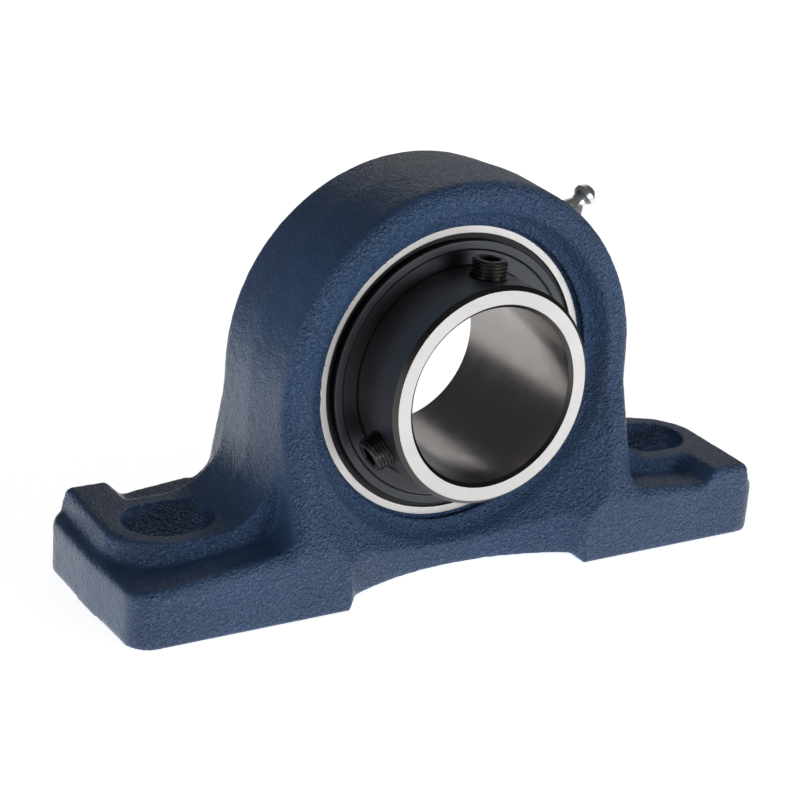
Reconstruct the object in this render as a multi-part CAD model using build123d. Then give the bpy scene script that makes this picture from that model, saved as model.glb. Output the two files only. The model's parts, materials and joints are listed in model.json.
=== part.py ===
# A cast pillow block with a sealed, self-aligning ball bearing insert held on its shaft by two set screws.
# Units are millimetres. The origin is the centre of the spherical seat, on the bore axis.
# +Y runs along the bore to the rear, +Z is up, +X runs along the base to the foot beside the grease nipple.

from build123d import *
from math import cos, radians, sin, sqrt, tan
import os

# Shaft and insert
BORE_RADIUS = 25.0
INNER_RING_WALL = 6.0
INNER_RING_FRONT = 32.6
INNER_RING_REAR = 19.0
BORE_CHAMFER = 1.0
INNER_RING_CHAMFER = 1.2
OUTER_RING_WALL = 4.0
OUTER_RING_WIDTH = 24.0
OUTER_RING_CHAMFER = 0.5

# Balls and raceways
BALL_COUNT = 10
BALL_RADIUS = 6.35
RACE_SHOULDER = 4.0
RACE_CONFORMITY = 1.04
BALL_CLEARANCE = 0.02

# Ribbon cage, pressed from strip in two halves and riveted between the balls
CAGE_THICKNESS = 0.8
CAGE_WIDTH = 5.2
POCKET_CLEARANCE = 0.1
RIVET_RADIUS = 0.75
RIVET_HEAD_RADIUS = 1.35
RIVET_HEAD_HEIGHT = 0.6

# Seals and slingers, one pair at each side
SEAL_STEP = 2.0
SEAL_SEAT_DEPTH = 3.4
SEAL_CORE_THICKNESS = 0.8
SEAL_CORE_GAP = 3.0
SEAL_RECESS = 0.7
LIP_THICKNESS = 1.2
LIP_CLEARANCE = 0.05
SLINGER_REACH = 7.3
SLINGER_THICKNESS = 1.0
SLINGER_PROUD = 1.6
SLINGER_RIM_RADIUS = 0.7
SEAL_GAP = 0.35

# Set screws
SCREW_ANGLES = (87.0, 207.0)
SCREW_EDGE_DISTANCE = 10.0
SCREW_RADIUS = 4.95
SCREW_CLEARANCE = 0.05
SCREW_LENGTH = 10.2
SCREW_TIP_GAP = 0.6
SCREW_CUP_RADIUS = 2.6
SCREW_CUP_DEPTH = 1.0
SCREW_POINT_CHAMFER = 1.2
SCREW_END_CHAMFER = 0.6
HEX_KEY_SIZE = 5.0
HEX_KEY_DEPTH = 5.5

# Housing: arch, base and feet
CENTRE_HEIGHT = 57.2
CROWN_WALL = 11.9
DRAFT_ANGLE = 3.5
ARCH_WIDTH = 39.0
BASE_WIDTH = 60.0
BASE_LENGTH = 206.0
FOOT_END_HEIGHT = 15.4
FOOT_TOP_SLOPE = 6.0
FOOT_CORNER_RADIUS = 7.5
FOOT_END_DRAFT = 1.6
FOOT_EDGE_ROUND = 2.2
LEG_TOP_DROP = 6.0
LEG_RUNOUT = 1.1
LEG_ROOT_ROUND = 20.0
LEG_FOOT_ROUND = 4.0
WALL_ROOT_ROUND = 6.0
BOSS_ROOT_ROUND = 18.0
RIM_ROUND = 4.0

# Housing: bolt slots and their bosses
BOLT_EDGE_DISTANCE = 23.5
SLOT_WIDTH = 20.0
SLOT_LENGTH = 25.0
BOSS_HEIGHT = 22.2
BOSS_WALL = 6.2
BOSS_SIDE_SLOPE = 15.0
BLOCK_WIDTH = 11.3
BLOCK_END_DRAFT = 3.5
BLOCK_INNER_SLOPE = 45.0
BOSS_EDGE_ROUND = 2.0

# Housing: waist and underside between the feet
WAIST_LENGTH = 77.0
WAIST_ARC_LENGTH = 70.0
WAIST_ARC_RISE = 7.0
UNDERSIDE_RELIEF = 2.0

# Housing: seat, dished faces and grease way
SEAT_CLEARANCE = 0.03
SEAT_WIDTH = 29.0
DISH_FLOOR_MARGIN = 0.5
DISH_WALL_SPREAD = 2.3
DISH_LEG_SLOPE = 45.0
LOADING_CLEARANCE = 0.25
GREASE_GROOVE_FRONT = 2.5
GREASE_GROOVE_REAR = 8.0
GREASE_GROOVE_DEPTH = 1.5
RING_GROOVE_PLACE = 6.6
RING_GROOVE_WIDTH = 1.8
RING_GROOVE_DEPTH = 0.8
RING_HOLE_RADIUS = 0.8

# Grease nipple
NIPPLE_ANGLE = 42.2
NIPPLE_HEX = 9.0
NIPPLE_HEX_HEIGHT = 2.4
NIPPLE_STEM_RADIUS = 3.0
NIPPLE_STEM_SHORTFALL = 3.3
NIPPLE_CONE_RADIUS = 3.7
NIPPLE_CONE_HEIGHT = 3.0
NIPPLE_NECK_RADIUS = 2.2
NIPPLE_NECK_HEIGHT = 1.2
NIPPLE_HEAD_RADIUS = 3.25
NIPPLE_HEAD_FLARE = 1.2
NIPPLE_HEAD_BAND = 1.4
NIPPLE_HEAD_TOP = 1.9
NIPPLE_TIP_RADIUS = 1.6
SPOT_FACE_RADIUS = 6.2
SPOT_FACE_DEPTH = 0.6
STEM_CLEARANCE = 0.02
CHECK_CLEARANCE = 0.02
CHECK_BALL_RADIUS = 1.0
CHECK_WAY_RADIUS = 1.05
CHECK_MOUTH_RADIUS = 0.8
CHECK_GREASE_RADIUS = 0.7
CHECK_SEAT_DEPTH = 0.5
SPRING_WIRE = 0.16
SPRING_LENGTH = 5.0
SPRING_TURNS = 4

# How far a cutting tool runs past the surface that it cuts, and how closely two places count as one
OVERCUT = 1.0
SAME_PLACE = 0.01

# Radii of the insert and the housing, outwards from the bore
INNER_RING_RADIUS = BORE_RADIUS + INNER_RING_WALL
PITCH_RADIUS = INNER_RING_RADIUS + RACE_SHOULDER
OUTER_LAND_RADIUS = PITCH_RADIUS + RACE_SHOULDER
SEAL_SEAT_RADIUS = OUTER_LAND_RADIUS + SEAL_STEP
SPHERE_RADIUS = SEAL_SEAT_RADIUS + OUTER_RING_WALL
SLINGER_RADIUS = INNER_RING_RADIUS + SLINGER_REACH
SEAL_CORE_INNER = INNER_RING_RADIUS + SEAL_CORE_GAP
CROWN_RADIUS = SPHERE_RADIUS + CROWN_WALL
DISH_FLOOR_RADIUS = SPHERE_RADIUS + DISH_FLOOR_MARGIN
DISH_RIM_RADIUS = DISH_FLOOR_RADIUS + DISH_WALL_SPREAD
RACE_RADIUS = BALL_RADIUS * RACE_CONFORMITY
OUTER_RACE_CENTRE = PITCH_RADIUS + BALL_RADIUS + BALL_CLEARANCE - RACE_RADIUS
INNER_RACE_CENTRE = PITCH_RADIUS - BALL_RADIUS - BALL_CLEARANCE + RACE_RADIUS
SEAT_RADIUS = SPHERE_RADIUS + SEAT_CLEARANCE
GREASE_GROOVE_TOP = SEAT_RADIUS + GREASE_GROOVE_DEPTH

# Places along the base, from its middle
HALF_LENGTH = BASE_LENGTH / 2
LEG_TAIL = CROWN_RADIUS + WALL_ROOT_ROUND
BOLT_PLACE = HALF_LENGTH - BOLT_EDGE_DISTANCE
SLOT_END_PLACE = BOLT_PLACE + (SLOT_LENGTH - SLOT_WIDTH) / 2

# Places along the bore, from the seat's centre
HALF_RING = OUTER_RING_WIDTH / 2
HALF_SEAT = SEAT_WIDTH / 2
HALF_ARCH = ARCH_WIDTH / 2
HALF_BASE = BASE_WIDTH / 2
SLINGER_FACE = HALF_RING + SLINGER_PROUD
SEAL_FACE = HALF_RING - SEAL_RECESS
SCREW_PLACE = INNER_RING_FRONT - SCREW_EDGE_DISTANCE

# Heights of the housing, from the bore axis
BASE_Z = -CENTRE_HEIGHT
FOOT_END_Z = BASE_Z + FOOT_END_HEIGHT
FOOT_Z = FOOT_END_Z + (HALF_LENGTH - LEG_TAIL) * tan(radians(FOOT_TOP_SLOPE))
BOSS_Z = BASE_Z + BOSS_HEIGHT
LEG_TOP = -LEG_TOP_DROP
LEG_FOOT = FOOT_Z - LEG_RUNOUT

# Heights along the nipple, from its seat on the crown
NIPPLE_SEAT = CROWN_RADIUS - SPOT_FACE_DEPTH
NIPPLE_STEM_LENGTH = NIPPLE_SEAT - GREASE_GROOVE_TOP - NIPPLE_STEM_SHORTFALL
NIPPLE_NECK_BASE = NIPPLE_HEX_HEIGHT + NIPPLE_CONE_HEIGHT
NIPPLE_HEAD_BASE = NIPPLE_NECK_BASE + NIPPLE_NECK_HEIGHT
NIPPLE_BAND_BASE = NIPPLE_HEAD_BASE + NIPPLE_HEAD_FLARE
NIPPLE_BAND_TOP = NIPPLE_BAND_BASE + NIPPLE_HEAD_BAND
NIPPLE_TOP = NIPPLE_BAND_TOP + NIPPLE_HEAD_TOP
CHECK_BALL_DROP = sqrt(CHECK_BALL_RADIUS**2 - CHECK_MOUTH_RADIUS**2)
CHECK_BALL_PLACE = NIPPLE_TOP - CHECK_SEAT_DEPTH - CHECK_BALL_DROP - CHECK_CLEARANCE
SPRING_TOP = CHECK_BALL_PLACE - CHECK_BALL_RADIUS - CHECK_CLEARANCE
SPRING_FLOOR = SPRING_TOP - SPRING_LENGTH


# Shared helpers
def spun(points):
    """A solid turned about the bore axis from a closed outline of (radius, y) points."""
    return revolve(make_face(Polyline(*points, close=True)), Axis.Y)


def radial_plane(angle, radius, y=0.0):
    """A work plane on the bore's radius at this angle, with its normal pointing outwards."""
    out = Vector(cos(radians(angle)), 0, sin(radians(angle)))
    return Plane(origin=out * radius + Vector(0, y, 0), x_dir=(0, 1, 0), z_dir=out)


def turned(points):
    """A solid turned about the local Z axis from a closed outline of (radius, height) points."""
    outline = Polyline(*[(r, 0, z) for r, z in points], close=True)
    return revolve(make_face(outline), Axis.Z)


def half_turn(shape):
    """The same form on the other foot, or at the other face: half a turn about the vertical."""
    return Rot(0, 0, 180) * shape


# Housing
def arch_section(y, tail_z, root_round):
    """The arch cut at depth y: crown, side walls and the round into the foot at tail_z."""
    side = CROWN_RADIUS - abs(y) * tan(radians(DRAFT_ANGLE))
    turn = root_round * (1 - sqrt(0.5))
    tail = side + root_round
    edges = [ThreePointArc((-side, y, 0), (0, y, side), (side, y, 0))]
    for hand in (1, -1):
        wall_foot = (hand * side, y, tail_z + root_round)
        middle = (hand * (side + turn), y, tail_z + turn)
        tail_end = (hand * tail, y, tail_z)
        edges.append(Line((hand * side, y, 0), wall_foot))
        edges.append(ThreePointArc(wall_foot, middle, tail_end))
        edges.append(Line(tail_end, (hand * tail, y, BASE_Z)))
    edges.append(Line((-tail, y, BASE_Z), (tail, y, BASE_Z)))
    return Face(Wire(edges))


def on_rim(edge):
    """Whether an edge of the arch lies on the outline of its front or rear face, above the feet."""
    places = [edge @ t for t in (0, 0.5, 1)]
    outermost = min(abs(place.Y) for place in places) > HALF_ARCH - SAME_PLACE
    above = min(place.Z for place in places) > LEG_FOOT + LEG_FOOT_ROUND / 2
    crosses = edge.geom_type == GeomType.LINE and abs(places[0].X - places[2].X) > CROWN_RADIUS
    return outermost and above and not crosses


def arch(tail_z, root_round):
    """The drafted arch, narrow at the crown and with legs that spread to the base's full width."""
    depths = (-HALF_BASE, 0, HALF_BASE)
    block = loft([arch_section(y, tail_z, root_round) for y in depths], ruled=True)
    top = CROWN_RADIUS + OVERCUT
    outline = [(HALF_ARCH, top), (HALF_ARCH, LEG_TOP), (HALF_BASE, LEG_FOOT), (HALF_BASE, BASE_Z)]
    outline += [(-y, z) for y, z in reversed(outline)]
    side_view = make_face(Polyline(*[(0, y, z) for y, z in outline], close=True))
    roots = [v for v in side_view.vertices() if abs(v.Z - LEG_TOP) < SAME_PLACE]
    side_view = fillet(roots, LEG_ROOT_ROUND)
    feet = [v for v in side_view.vertices() if abs(v.Z - LEG_FOOT) < SAME_PLACE]
    side_view = fillet(feet, LEG_FOOT_ROUND)
    body = block & extrude(side_view, HALF_LENGTH, both=True, dir=(1, 0, 0))
    return fillet([edge for edge in body.edges() if on_rim(edge)], RIM_ROUND)


def base_prism(height):
    """The base's outline raised to a height, with ends drafted away from the mould's parting plane."""
    corner = HALF_LENGTH - HALF_BASE * tan(radians(FOOT_END_DRAFT))
    outline = [(HALF_LENGTH, 0), (corner, HALF_BASE), (-corner, HALF_BASE)]
    outline += [(-x, -y) for x, y in outline]
    plan = make_face(Polyline(*outline, close=True))
    corners = [v for v in plan.vertices() if abs(v.Y) > SAME_PLACE]
    return Pos(0, 0, BASE_Z) * extrude(fillet(corners, FOOT_CORNER_RADIUS), height)


def foot_plate():
    """The plate under one foot, whose top falls away from the leg to the foot's end."""
    start = LEG_TAIL - HALF_BASE * tan(radians(DRAFT_ANGLE)) - OVERCUT
    rise = (HALF_LENGTH - start) * tan(radians(FOOT_TOP_SLOPE))
    outline = [(start, BASE_Z), (HALF_LENGTH, BASE_Z), (HALF_LENGTH, FOOT_END_Z), (start, FOOT_END_Z + rise)]
    side_view = make_face(Polyline(*[(x, 0, z) for x, z in outline], close=True))
    plate = base_prism(CENTRE_HEIGHT) & extrude(side_view, BASE_WIDTH, both=True, dir=(0, 1, 0))
    top = plate.faces().sort_by(Axis.Z)[-1]
    rim = [edge for edge in top.edges() if (edge @ 0.5).X > start + SAME_PLACE]
    return fillet(rim, FOOT_EDGE_ROUND)


def boss():
    """The raised pad round one bolt slot, with the block that carries it out to the foot's front corner."""
    end_radius = SLOT_WIDTH / 2 + BOSS_WALL
    depth = BOSS_HEIGHT - FOOT_END_HEIGHT + FOOT_EDGE_ROUND
    lean = radians(BLOCK_END_DRAFT)
    touch = (SLOT_END_PLACE + end_radius * cos(lean), -end_radius * sin(lean))
    front = -HALF_BASE - OVERCUT
    outer = touch[0] + (front - touch[1]) * tan(lean)
    inner = outer - BLOCK_WIDTH
    middle = outer - BLOCK_WIDTH / 2
    pad_plan = Pos(SLOT_END_PLACE, 0) * Circle(end_radius)
    pad_plan += Pos(SLOT_END_PLACE * 3 / 4, 0) * Rectangle(SLOT_END_PLACE / 2, 2 * end_radius)
    pad_plan += make_face(Polyline((middle, 0), touch, (outer, front), (middle, front), close=True))
    pad = Pos(0, 0, BOSS_Z) * extrude(pad_plan, -depth, taper=-BOSS_SIDE_SLOPE)
    inner_low = inner - depth * tan(radians(BLOCK_INNER_SLOPE))
    low = BOSS_Z - depth
    wedge_outline = [(middle, BOSS_Z), (middle, low), (inner_low, low), (inner, BOSS_Z)]
    wedge_face = make_face(Polyline(*[(x, 0, z) for x, z in wedge_outline], close=True))
    raised = (pad + extrude(wedge_face, -front, dir=(0, -1, 0))) & base_prism(BOSS_HEIGHT)
    raised = fillet(raised.faces().sort_by(Axis.Z)[-1].edges(), BOSS_EDGE_ROUND)
    root_zone = Pos(SLOT_END_PLACE / 2, 0, 0) * Box(SLOT_END_PLACE, 2 * end_radius, 2 * CENTRE_HEIGHT)
    return raised + (arch(BOSS_Z, BOSS_ROOT_ROUND) & root_zone)


def waist_cut():
    """What is taken off the front between the feet: a shallow arc that just meets the arch's face."""
    ends, arc = WAIST_LENGTH / 2, WAIST_ARC_LENGTH / 2
    arc_y = -HALF_ARCH - WAIST_ARC_RISE
    beyond = -HALF_BASE - OVERCUT
    outline = [
        ThreePointArc((-arc, arc_y), (0, -HALF_ARCH), (arc, arc_y)),
        Line((arc, arc_y), (ends, -HALF_BASE)),
        Polyline((ends, -HALF_BASE), (ends, beyond), (-ends, beyond), (-ends, -HALF_BASE)),
        Line((-ends, -HALF_BASE), (-arc, arc_y)),
    ]
    plan = make_face(outline)
    return Pos(0, 0, BASE_Z - OVERCUT) * extrude(plan, CENTRE_HEIGHT)


def underside_cut():
    """The relieved underside between the feet, so that only the feet touch the floor."""
    ends = WAIST_LENGTH / 2
    top = ends - UNDERSIDE_RELIEF
    relief_z = BASE_Z + UNDERSIDE_RELIEF
    outline = [(-ends, BASE_Z), (-top, relief_z), (top, relief_z), (ends, BASE_Z)]
    face = make_face(Polyline(*[(x, 0, z) for x, z in outline], close=True))
    return extrude(face, HALF_BASE + OVERCUT, both=True, dir=(0, 1, 0))


def dish_cut():
    """The front dish: a flat floor round the bearing, a steep wall and a slope out over the legs."""
    reach = 2 * (HALF_BASE - HALF_ARCH)
    outer = DISH_RIM_RADIUS + reach * tan(radians(DISH_LEG_SLOPE))
    return spun([(0, -HALF_SEAT), (DISH_FLOOR_RADIUS, -HALF_SEAT), (DISH_RIM_RADIUS, -HALF_ARCH),
                 (outer, -HALF_ARCH - reach), (0, -HALF_ARCH - reach)])


def loading_cut():
    """Two notches behind the seat, through which the insert is put in crosswise and then turned upright."""
    rear = HALF_SEAT + OVERCUT
    tunnel = spun([(0, 0), (SEAT_RADIUS, 0), (SEAT_RADIUS, rear), (0, rear)])
    return tunnel & Box(2 * BASE_LENGTH, 2 * BASE_WIDTH, OUTER_RING_WIDTH + 2 * LOADING_CLEARANCE)


def grease_cut():
    """The ring groove in the seat that carries grease round from the nipple to the outer ring's hole."""
    front, rear = -GREASE_GROOVE_FRONT, GREASE_GROOVE_REAR
    return spun([(0, front), (GREASE_GROOVE_TOP, front), (GREASE_GROOVE_TOP, rear), (0, rear)])


def nipple_cut():
    """The nipple's hole down to the grease groove, and the flat cut into the crown under its hexagon."""
    hole_radius = NIPPLE_STEM_RADIUS + STEM_CLEARANCE
    hole = radial_plane(NIPPLE_ANGLE, SEAT_RADIUS) * extrude(Circle(hole_radius), CROWN_WALL + OVERCUT)
    seat = radial_plane(NIPPLE_ANGLE, NIPPLE_SEAT)
    return hole + seat * extrude(Circle(SPOT_FACE_RADIUS), 2 * SPOT_FACE_DEPTH + OVERCUT)


def slot_cut():
    """The bolt slot through one foot."""
    plan = SlotOverall(SLOT_LENGTH, SLOT_WIDTH)
    return Pos(BOLT_PLACE, 0, BASE_Z - OVERCUT) * extrude(plan, CENTRE_HEIGHT)


def housing():
    """The whole casting, machined."""
    foot = foot_plate() + boss()
    body = arch(FOOT_Z, WALL_ROOT_ROUND) + foot + half_turn(foot)
    for cut in (waist_cut(), dish_cut()):
        body = body - cut - half_turn(cut)
    body = body - underside_cut() - Sphere(SEAT_RADIUS) - loading_cut() - grease_cut()
    body = body - slot_cut() - half_turn(slot_cut()) - nipple_cut()
    return body


# Insert: rings
def raceway(centre):
    """The torus that leaves a ball groove when it is cut from a ring."""
    return revolve(Pos(centre, 0) * Circle(RACE_RADIUS), Axis.Y)


def outer_ring():
    """The outer ring: spherical outside, grooved inside, with a step at each end for the seal."""
    seat_y = HALF_RING - SEAL_SEAT_DEPTH
    ring = Sphere(SPHERE_RADIUS) & Rot(90, 0, 0) * Cylinder(SPHERE_RADIUS, OUTER_RING_WIDTH)
    inside = spun([(0, -HALF_RING), (SEAL_SEAT_RADIUS + OUTER_RING_CHAMFER, -HALF_RING),
                   (SEAL_SEAT_RADIUS, -HALF_RING + OUTER_RING_CHAMFER), (SEAL_SEAT_RADIUS, -seat_y),
                   (OUTER_LAND_RADIUS, -seat_y), (OUTER_LAND_RADIUS, seat_y), (SEAL_SEAT_RADIUS, seat_y),
                   (SEAL_SEAT_RADIUS, HALF_RING - OUTER_RING_CHAMFER),
                   (SEAL_SEAT_RADIUS + OUTER_RING_CHAMFER, HALF_RING), (0, HALF_RING)])
    ring = ring - inside - raceway(OUTER_RACE_CENTRE)
    front = RING_GROOVE_PLACE - RING_GROOVE_WIDTH / 2
    rear = RING_GROOVE_PLACE + RING_GROOVE_WIDTH / 2
    floor = sqrt(SPHERE_RADIUS**2 - RING_GROOVE_PLACE**2) - RING_GROOVE_DEPTH
    groove = spun([(floor, front), (SPHERE_RADIUS, front), (SPHERE_RADIUS, rear), (floor, rear)])
    grease_way = extrude(Circle(RING_HOLE_RADIUS), SPHERE_RADIUS)
    hole = radial_plane(NIPPLE_ANGLE, 0, RING_GROOVE_PLACE) * grease_way
    return ring - groove - hole


def inner_ring():
    """The inner ring: long at the front for the set screws, with the ball groove at its middle."""
    front, rear = -INNER_RING_FRONT, INNER_RING_REAR
    bore, outside = BORE_RADIUS, INNER_RING_RADIUS
    c, d = BORE_CHAMFER, INNER_RING_CHAMFER
    ring = spun([(bore + c, front), (outside - d, front), (outside, front + d), (outside, rear - d),
                 (outside - d, rear), (bore + c, rear), (bore, rear - c), (bore, front + c)])
    ring = ring - raceway(INNER_RACE_CENTRE)
    hole_radius = SCREW_RADIUS + SCREW_CLEARANCE
    for angle in SCREW_ANGLES:
        plane = radial_plane(angle, BORE_RADIUS / 2, -SCREW_PLACE)
        ring = ring - plane * extrude(Circle(hole_radius), INNER_RING_RADIUS)
    return ring


# Insert: balls and cage
def ball_places():
    """The balls' centres, evenly round the pitch circle, with one at the top."""
    step = 360 / BALL_COUNT
    return [radial_plane(90 + i * step, PITCH_RADIUS).origin for i in range(BALL_COUNT)]


def rivet_planes():
    """Work planes between the balls, facing the front."""
    step = 360 / BALL_COUNT
    places = [radial_plane(90 + (i + 0.5) * step, PITCH_RADIUS).origin for i in range(BALL_COUNT)]
    return [Plane(origin=place, x_dir=(1, 0, 0), z_dir=(0, -1, 0)) for place in places]


def cage_half():
    """The front half of the ribbon cage: flats between the balls and a spherical cup round each."""
    inner = PITCH_RADIUS - CAGE_WIDTH / 2
    outer = PITCH_RADIUS + CAGE_WIDTH / 2
    pocket = BALL_RADIUS + POCKET_CLEARANCE
    reach = BALL_RADIUS + 2 * CAGE_THICKNESS
    band = spun([(inner, -reach), (outer, -reach), (outer, 0), (inner, 0)])
    flats = spun([(inner, -CAGE_THICKNESS), (outer, -CAGE_THICKNESS), (outer, 0), (inner, 0)])
    cups = [Pos(*place) * Sphere(pocket + CAGE_THICKNESS) for place in ball_places()]
    hollows = [Pos(*place) * Sphere(pocket) for place in ball_places()]
    half = flats + [cup & band for cup in cups]
    holes = [plane * Cylinder(RIVET_RADIUS, 4 * CAGE_THICKNESS) for plane in rivet_planes()]
    return half - hollows - holes


def rivets():
    """One rivet between each pair of balls, headed on both halves of the cage."""
    t, h = CAGE_THICKNESS, RIVET_HEAD_HEIGHT
    rivet = turned([(0, -t - h), (RIVET_HEAD_RADIUS - h / 2, -t - h), (RIVET_HEAD_RADIUS, -t - h / 2),
                    (RIVET_HEAD_RADIUS, -t), (RIVET_RADIUS, -t), (RIVET_RADIUS, t), (RIVET_HEAD_RADIUS, t),
                    (RIVET_HEAD_RADIUS, t + h / 2), (RIVET_HEAD_RADIUS - h / 2, t + h), (0, t + h)])
    return Compound(children=[plane * rivet for plane in rivet_planes()])


# Insert: seals and slingers
def seal_core():
    """The pressed steel disc in the outer ring's step, which stiffens the front seal."""
    t = SEAL_CORE_THICKNESS
    inner, outer = SEAL_CORE_INNER, SEAL_SEAT_RADIUS
    back = -SEAL_FACE + t
    flange_end = -HALF_RING + SEAL_SEAT_DEPTH
    return spun([(inner, -SEAL_FACE), (outer, -SEAL_FACE), (outer, flange_end),
                 (outer - t, flange_end), (outer - t, back), (inner, back)])


def seal_lip():
    """The rubber moulded behind the core, reaching down to the inner ring."""
    t = LIP_THICKNESS
    back = -SEAL_FACE + SEAL_CORE_THICKNESS
    foot = INNER_RING_RADIUS + LIP_CLEARANCE
    outer = SEAL_SEAT_RADIUS - SEAL_CORE_THICKNESS - t
    return spun([(foot, back + t), (foot + t, -SEAL_FACE), (SEAL_CORE_INNER, -SEAL_FACE),
                 (SEAL_CORE_INNER, back), (outer, back), (outer, back + t),
                 (foot + 2 * t, back + t), (foot + t, back + 2 * t)])


def slinger():
    """The pressed steel flinger on the inner ring, whose turned-in rim keeps dirt off the front seal."""
    t = SLINGER_THICKNESS
    back = -SLINGER_FACE + t
    rim_end = -SEAL_FACE - SEAL_GAP
    rim_face = SLINGER_RADIUS - SLINGER_RIM_RADIUS
    return spun([(INNER_RING_RADIUS, -SLINGER_FACE), (rim_face, -SLINGER_FACE),
                 (SLINGER_RADIUS, -SLINGER_FACE + SLINGER_RIM_RADIUS), (SLINGER_RADIUS, rim_end),
                 (SLINGER_RADIUS - t, rim_end), (SLINGER_RADIUS - t, back), (INNER_RING_RADIUS, back)])


# Set screws
def hexagonal_bar(width, height):
    """A hexagonal bar of this width across its flats."""
    return extrude(RegularPolygon(width / 2, 6, major_radius=False), height)


def set_screw(angle):
    """A cup point set screw, standing proud of the inner ring with its tip just short of the shaft."""
    body = turned([(0, 0), (SCREW_RADIUS - SCREW_POINT_CHAMFER, 0), (SCREW_RADIUS, SCREW_POINT_CHAMFER),
                   (SCREW_RADIUS, SCREW_LENGTH - SCREW_END_CHAMFER),
                   (SCREW_RADIUS - SCREW_END_CHAMFER, SCREW_LENGTH), (0, SCREW_LENGTH)])
    cup = turned([(0, 0), (SCREW_CUP_RADIUS, 0), (0, SCREW_CUP_DEPTH)])
    key = Pos(0, 0, SCREW_LENGTH - HEX_KEY_DEPTH) * hexagonal_bar(HEX_KEY_SIZE, HEX_KEY_DEPTH)
    return radial_plane(angle, BORE_RADIUS + SCREW_TIP_GAP, -SCREW_PLACE) * (body - cup - key)


# Grease nipple
def nipple_body():
    """The nipple: threaded stem, hexagon, cone, neck and grease gun head, bored for its check valve."""
    end = -NIPPLE_STEM_LENGTH
    turned_part = turned([(0, end), (NIPPLE_STEM_RADIUS, end), (NIPPLE_STEM_RADIUS, 0),
                          (NIPPLE_CONE_RADIUS, 0), (NIPPLE_CONE_RADIUS, NIPPLE_HEX_HEIGHT),
                          (NIPPLE_NECK_RADIUS, NIPPLE_NECK_BASE), (NIPPLE_NECK_RADIUS, NIPPLE_HEAD_BASE),
                          (NIPPLE_HEAD_RADIUS, NIPPLE_BAND_BASE), (NIPPLE_HEAD_RADIUS, NIPPLE_BAND_TOP),
                          (NIPPLE_TIP_RADIUS, NIPPLE_TOP), (0, NIPPLE_TOP)])
    mouth = NIPPLE_TOP - CHECK_SEAT_DEPTH
    cone_foot = mouth - CHECK_WAY_RADIUS + CHECK_MOUTH_RADIUS
    bore = turned([(0, end), (CHECK_GREASE_RADIUS, end), (CHECK_GREASE_RADIUS, SPRING_FLOOR),
                   (CHECK_WAY_RADIUS, SPRING_FLOOR), (CHECK_WAY_RADIUS, cone_foot),
                   (CHECK_MOUTH_RADIUS, mouth), (CHECK_MOUTH_RADIUS, NIPPLE_TOP), (0, NIPPLE_TOP)])
    hexagon = hexagonal_bar(NIPPLE_HEX, NIPPLE_HEX_HEIGHT)
    return radial_plane(NIPPLE_ANGLE, NIPPLE_SEAT) * (turned_part + hexagon - bore)


def check_ball():
    """The nipple's valve ball, under the mouth."""
    return radial_plane(NIPPLE_ANGLE, NIPPLE_SEAT) * Pos(0, 0, CHECK_BALL_PLACE) * Sphere(CHECK_BALL_RADIUS)


def check_spring():
    """The spring that holds the valve ball up, a helix of thin wire."""
    coil_radius = CHECK_WAY_RADIUS - SPRING_WIRE - CHECK_CLEARANCE
    length = SPRING_LENGTH - 2 * SPRING_WIRE
    path = Helix(length / SPRING_TURNS, length, coil_radius)
    wire = sweep(Plane(path @ 0, z_dir=path % 0) * Circle(SPRING_WIRE), path)
    return radial_plane(NIPPLE_ANGLE, NIPPLE_SEAT) * Pos(0, 0, SPRING_FLOOR + SPRING_WIRE) * wire


def parts():
    """Every piece by its node name."""
    nodes = {"housing": housing(), "outer_ring": outer_ring(), "inner_ring": inner_ring()}
    for i, place in enumerate(ball_places()):
        nodes[f"ball_{i + 1:02d}"] = Pos(*place) * Sphere(BALL_RADIUS)
    nodes["cage_front"] = cage_half()
    nodes["cage_rear"] = half_turn(nodes["cage_front"])
    nodes["cage_rivets"] = rivets()
    for side, place in (("front", lambda shape: shape), ("rear", half_turn)):
        nodes[f"{side}_seal_core"] = place(seal_core())
        nodes[f"{side}_seal_lip"] = place(seal_lip())
        nodes[f"{side}_slinger"] = place(slinger())
    nodes["set_screw_top"] = set_screw(SCREW_ANGLES[0])
    nodes["set_screw_side"] = set_screw(SCREW_ANGLES[1])
    nodes["nipple_body"] = nipple_body()
    nodes["nipple_ball"] = check_ball()
    nodes["nipple_spring"] = check_spring()
    return nodes


os.makedirs("parts", exist_ok=True)
for name, shape in parts().items():
    export_step(shape, f"parts/{name}.step")
    print(name, round(shape.volume, 1))
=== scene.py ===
# %% [markdown]
# # A cast pillow block with its bearing insert
#
# This lesson dresses a finished mechanical model of a pillow block: a blue painted iron casting that holds
# a sealed ball bearing for a 50 mm shaft. The model's pieces are already at their real size and place, so
# every cell here only adds what the eye needs: the skin of the casting, rounded edges on turned steel, real
# screw threads, and a finish for each surface. All lengths are in metres, with the origin at the centre of
# the bore, +Y to the rear and +Z up. Values that a maker would write in millimetres are kept in millimetres
# and scaled where they are used.

import json
import math

import bmesh
import bpy
import numpy as np
from mathutils import Matrix, Vector

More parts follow.
